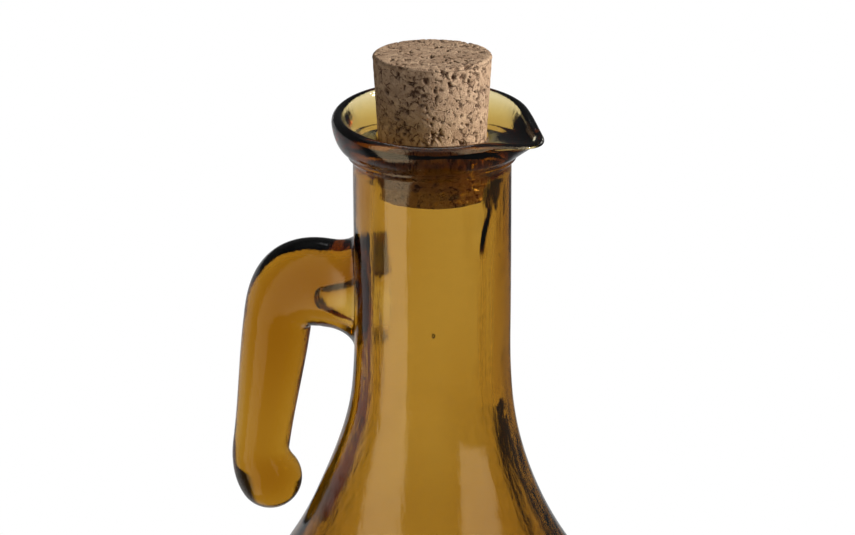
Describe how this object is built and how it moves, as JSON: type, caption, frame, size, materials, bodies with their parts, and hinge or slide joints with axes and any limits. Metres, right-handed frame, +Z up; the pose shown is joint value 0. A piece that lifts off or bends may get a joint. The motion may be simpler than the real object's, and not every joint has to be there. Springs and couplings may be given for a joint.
{
  "type": "oil bottle",
  "caption": "Amber glass oil bottle with a round body, long neck, rolled pouring lip, hooked side handle and a tapered cork stopper; empty.",
  "frame": {"origin": "on the bottle's axis, at the surface that it stands on", "axes": "+Z up along the bottle's axis, +X towards the pouring spout, -X towards the handle"},
  "size_m": [0.106, 0.106, 0.1903],
  "materials": {
    "glass": "thick hand-blown amber glass, clear and glossy, with small bubbles and faint flow lines",
    "cork": "pressed cork granules, matt, with small dark pits"
  },
  "bodies": {
    "root": {"bottle": "glass", "cork": "cork"}
  },
  "joints": []
}
